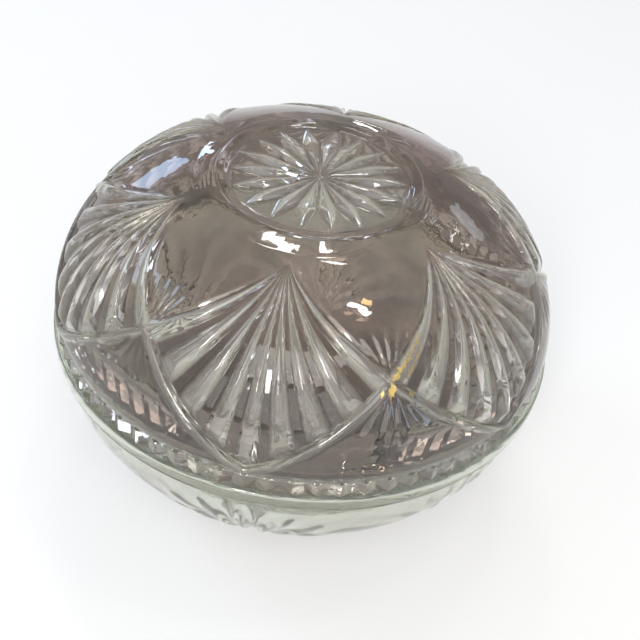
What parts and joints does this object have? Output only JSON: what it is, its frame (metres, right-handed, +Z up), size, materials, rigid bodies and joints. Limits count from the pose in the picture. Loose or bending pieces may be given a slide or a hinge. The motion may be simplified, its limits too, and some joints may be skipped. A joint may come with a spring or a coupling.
{
  "type": "lidded glass bowl",
  "caption": "Round lidded bowl in clear pressed glass with ribbed fans, a saw-toothed lid rim and a low ring knob; the lid lifts off so that it holds sweets or small things.",
  "frame": {"origin": "centre of the foot ring's underside, on the surface that the bowl stands on", "axes": "+Z up along the axis of bowl and lid; one fan of the pattern faces -Y"},
  "size_m": [0.1418, 0.1418, 0.1017],
  "materials": {
    "bowl_glass": "clear pressed glass, fire-polished",
    "lid_glass": "clear pressed glass, fire-polished"
  },
  "bodies": {
    "bowl": {"bowl": "bowl_glass"},
    "lid": {"lid": "lid_glass"}
  },
  "joints": [
    {"name": "lid_lift", "type": "slide", "parent": "bowl", "child": "lid", "axis": [0, 0, 1], "range_m": [0, 0.12]}
  ]
}
